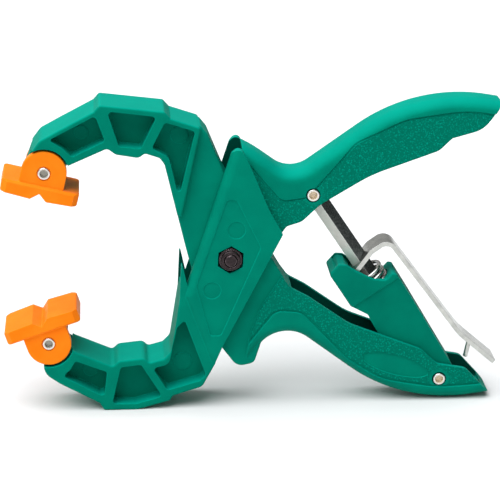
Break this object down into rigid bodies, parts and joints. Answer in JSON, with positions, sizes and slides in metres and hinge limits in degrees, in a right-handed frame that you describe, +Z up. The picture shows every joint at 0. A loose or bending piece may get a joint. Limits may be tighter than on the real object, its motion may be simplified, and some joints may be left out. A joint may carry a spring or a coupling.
{
  "type": "spring clamp",
  "caption": "One-handed spring clamp: two moulded arms on a pivot bolt, swivelling V-notch jaw pads, and a sliding strut with a sprung release lever that locks the grip.",
  "frame": {"origin": "centre of the base of the clamp's box, with the clamp standing on its lower jaw and lower handle, jaws open", "axes": "+X from the jaws to the handles, +Y from the nut side to the bolt-head side, +Z up from the lower jaw to the upper jaw"},
  "size_m": [0.2182, 0.0286, 0.1389],
  "materials": {
    "green_nylon": "satin moulded glass-filled nylon with pebble grain on the grips",
    "orange_plastic": "satin moulded pads",
    "black_steel": "black oxide",
    "black_nylon": "satin",
    "spring_steel": "bright drawn wire",
    "rivet_steel": "bright nickel plate",
    "zinc_steel": "bright zinc plate"
  },
  "bodies": {
    "fixed_arm": {"lower_jaw_arm": "green_nylon", "pivot_bolt": "black_steel", "pivot_lock_nut": "black_steel", "lock_nut_insert": "black_nylon", "pivot_torsion_spring": "spring_steel", "strut_rivet": "rivet_steel", "lower_pad_rivet": "rivet_steel"},
    "swing_arm": {"upper_jaw_arm": "green_nylon", "upper_pad_rivet": "rivet_steel", "housing_rivet": "rivet_steel"},
    "upper_swivel": {"upper_pad": "orange_plastic"},
    "lower_swivel": {"lower_pad": "orange_plastic"},
    "lock_housing": {"strut_housing": "green_nylon", "lock_spring": "spring_steel"},
    "strut": {"strut_bar": "zinc_steel"},
    "lever": {"release_lever": "zinc_steel", "lever_stop_stud": "zinc_steel"}
  },
  "joints": [
    {"name": "main_pivot", "type": "hinge", "parent": "fixed_arm", "child": "swing_arm", "pos_m": [-0.00999, 0.00075, 0.06921], "axis": [0, -1, 0], "range_deg": [0, 33], "stiffness_Nm_per_rad": 0.8, "springref_deg": -28.65, "deforming": ["pivot_torsion_spring"]},
    {"name": "upper_pad_swivel", "type": "hinge", "parent": "swing_arm", "child": "upper_swivel", "pos_m": [-0.08979, 0.00075, 0.10931], "axis": [0, -1, 0], "range_deg": [-8, 8]},
    {"name": "lower_pad_swivel", "type": "hinge", "parent": "fixed_arm", "child": "lower_swivel", "pos_m": [-0.08979, 0.00075, 0.03181], "axis": [0, -1, 0], "range_deg": [-8, 8]},
    {"name": "housing_pivot", "type": "hinge", "parent": "swing_arm", "child": "lock_housing", "pos_m": [0.08331, 0.00075, 0.01011], "axis": [0, -1, 0], "range_deg": [0, 3.01]},
    {"name": "strut_slide", "type": "slide", "parent": "lock_housing", "child": "strut", "axis": [0.5507, 0, -0.8347], "range_m": [0, 0.0254]},
    {"name": "release_lever", "type": "hinge", "parent": "lock_housing", "child": "lever", "pos_m": [0.04101, 0.00075, 0.05625], "axis": [0, 1, 0], "range_deg": [0, 6.5], "stiffness_Nm_per_rad": 0.3, "springref_deg": -17.19, "deforming": ["lock_spring"]}
  ],
  "couplings": [
    {"joint": "housing_pivot", "follows": "main_pivot", "ratio": 0.091},
    {"joint": "strut_slide", "follows": "main_pivot", "m_per_rad": 0.04399}
  ]
}
